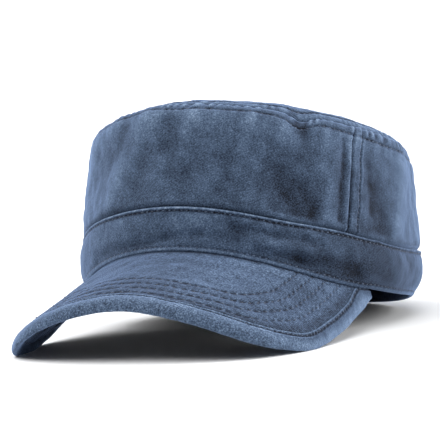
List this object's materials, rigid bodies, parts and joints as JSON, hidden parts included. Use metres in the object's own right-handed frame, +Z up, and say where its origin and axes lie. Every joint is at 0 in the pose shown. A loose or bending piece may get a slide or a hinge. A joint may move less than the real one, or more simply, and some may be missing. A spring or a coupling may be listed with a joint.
{
  "type": "army cap",
  "caption": "Soft flat-topped cloth army cap with a stitched band and a curved visor edged in bias binding, resting on a flat surface.",
  "frame": {"origin": "centre of the bounding box's underside, on the surface that the cap rests on", "axes": "+Z up from the surface; the visor points along -Y; +X is the wearer's left; the cap is tipped back about X, as it rests"},
  "size_m": [0.173, 0.2628, 0.1192],
  "materials": {
    "washed_twill": "pigment-dyed cotton twill, stone washed, matt and unevenly faded",
    "visor_twill": "the same washed cotton twill laid over a stiff sheet and quilted down",
    "binding_twill": "the same washed cotton twill cut on the bias, faded lighter along its edge"
  },
  "bodies": {
    "root": {"band": "washed_twill", "front_panel": "washed_twill", "back_panel_left": "washed_twill", "back_panel_right": "washed_twill", "top_panel": "washed_twill", "visor": "visor_twill", "visor_binding": "binding_twill"}
  },
  "joints": []
}
